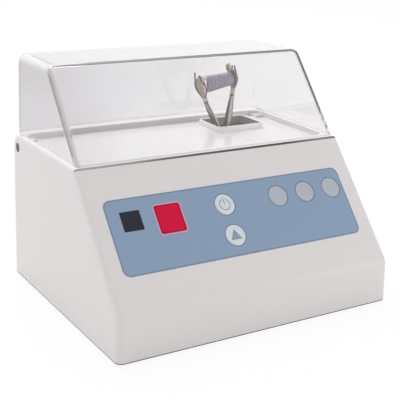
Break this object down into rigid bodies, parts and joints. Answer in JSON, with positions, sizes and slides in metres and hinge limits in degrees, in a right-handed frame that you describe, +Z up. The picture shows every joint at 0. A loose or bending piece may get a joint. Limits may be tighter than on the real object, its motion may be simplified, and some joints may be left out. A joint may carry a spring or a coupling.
{
  "type": "dental amalgamator",
  "caption": "Bench mixer with a sloped keypad front and a hinged clear cover over a rocking fork that shakes a dental capsule.",
  "frame": {"origin": "middle of the footprint, on the bench", "axes": "+X to the user's right, +Y to the rear, +Z up"},
  "size_m": [0.225, 0.18, 0.173],
  "materials": {
    "housing": "smooth moulded",
    "base": "satin",
    "rubber": "matt",
    "screw_steel": "satin",
    "dark_steel": "satin black",
    "film": "satin film",
    "red_window": "clear red",
    "black_plastic": "matt",
    "board": "lacquered",
    "bright_steel": "satin",
    "motor_steel": "satin",
    "crank_brass": "turned",
    "fork_steel": "satin, warm",
    "capsule": "smooth moulded",
    "copper": "enamelled wire",
    "clear": "clear moulded",
    "key": "smooth"
  },
  "bodies": {
    "housing_group": {"housing": "housing", "base_plate": "base", "foot_1": "rubber", "foot_2": "rubber", "foot_3": "rubber", "foot_4": "rubber", "base_screw_1": "screw_steel", "base_screw_2": "screw_steel", "base_screw_3": "screw_steel", "base_screw_4": "screw_steel", "hinge_pin_left": "dark_steel", "hinge_pin_right": "dark_steel", "keypad_film": "film", "display_lens": "red_window", "display_module": "black_plastic", "control_board": "board", "key_switch_1": "black_plastic", "key_switch_2": "black_plastic", "key_switch_3": "black_plastic", "key_switch_4": "black_plastic", "key_switch_5": "black_plastic", "board_screw_1": "screw_steel", "board_screw_2": "screw_steel", "board_screw_3": "screw_steel", "board_screw_4": "screw_steel", "chassis_plate": "bright_steel", "bearing_plate_front": "bright_steel", "bearing_plate_rear": "bright_steel", "chassis_mount_1": "rubber", "chassis_mount_2": "rubber", "chassis_mount_3": "rubber", "chassis_mount_4": "rubber", "motor_can": "motor_steel", "motor_cap": "black_plastic", "rocker_pin": "bright_steel", "transformer_core": "motor_steel", "transformer_coil": "copper", "power_board": "board", "mains_inlet": "black_plastic", "inlet_screw_1": "screw_steel", "inlet_screw_2": "screw_steel"},
    "cover_body": {"cover": "clear"},
    "power_key_body": {"power_key": "key"},
    "start_key_body": {"start_key": "key"},
    "preset_key_1_body": {"preset_key_1": "key"},
    "preset_key_2_body": {"preset_key_2": "key"},
    "preset_key_3_body": {"preset_key_3": "key"},
    "motor_rotor": {"motor_shaft": "bright_steel", "crank": "crank_brass", "crank_bearing": "bright_steel"},
    "rocker_group": {"rocker": "fork_steel", "fork_pin_left": "bright_steel", "fork_pin_right": "bright_steel", "capsule_body": "capsule", "capsule_cap": "capsule"},
    "arm_left_body": {"fork_arm_left": "fork_steel"},
    "arm_right_body": {"fork_arm_right": "fork_steel"}
  },
  "joints": [
    {"name": "cover_hinge", "type": "hinge", "parent": "housing_group", "child": "cover_body", "pos_m": [0, 0.0805, 0.1035], "axis": [-1, 0, 0], "range_deg": [0, 90]},
    {"name": "power_key_press", "type": "slide", "parent": "housing_group", "child": "power_key_body", "axis": [0, 0.7555, -0.6551], "range_m": [0, 0.0004], "stiffness_N_per_m": 2500},
    {"name": "start_key_press", "type": "slide", "parent": "housing_group", "child": "start_key_body", "axis": [0, 0.7555, -0.6551], "range_m": [0, 0.0004], "stiffness_N_per_m": 2500},
    {"name": "preset_key_1_press", "type": "slide", "parent": "housing_group", "child": "preset_key_1_body", "axis": [0, 0.7555, -0.6551], "range_m": [0, 0.0004], "stiffness_N_per_m": 2500},
    {"name": "preset_key_2_press", "type": "slide", "parent": "housing_group", "child": "preset_key_2_body", "axis": [0, 0.7555, -0.6551], "range_m": [0, 0.0004], "stiffness_N_per_m": 2500},
    {"name": "preset_key_3_press", "type": "slide", "parent": "housing_group", "child": "preset_key_3_body", "axis": [0, 0.7555, -0.6551], "range_m": [0, 0.0004], "stiffness_N_per_m": 2500},
    {"name": "motor_spin", "type": "hinge", "parent": "housing_group", "child": "motor_rotor", "pos_m": [0.058, 0.055, 0.053], "axis": [0, 1, 0], "range_deg": [0, 180]},
    {"name": "rocker_swing", "type": "hinge", "parent": "housing_group", "child": "rocker_group", "pos_m": [0.058, 0.055, 0.083], "axis": [0, 1, 0], "range_deg": [0, 19.6]},
    {"name": "arm_left_spring", "type": "hinge", "parent": "rocker_group", "child": "arm_left_body", "pos_m": [0.05052, 0.055, 0.10303], "axis": [0, -1, 0], "range_deg": [0, 4], "stiffness_Nm_per_rad": 0.6},
    {"name": "arm_right_spring", "type": "hinge", "parent": "rocker_group", "child": "arm_right_body", "pos_m": [0.0584, 0.055, 0.10437], "axis": [0, 1, 0], "range_deg": [0, 4], "stiffness_Nm_per_rad": 0.6}
  ],
  "couplings": [
    {"joint": "rocker_swing", "follows": "motor_spin", "ratio": 0.10778}
  ]
}
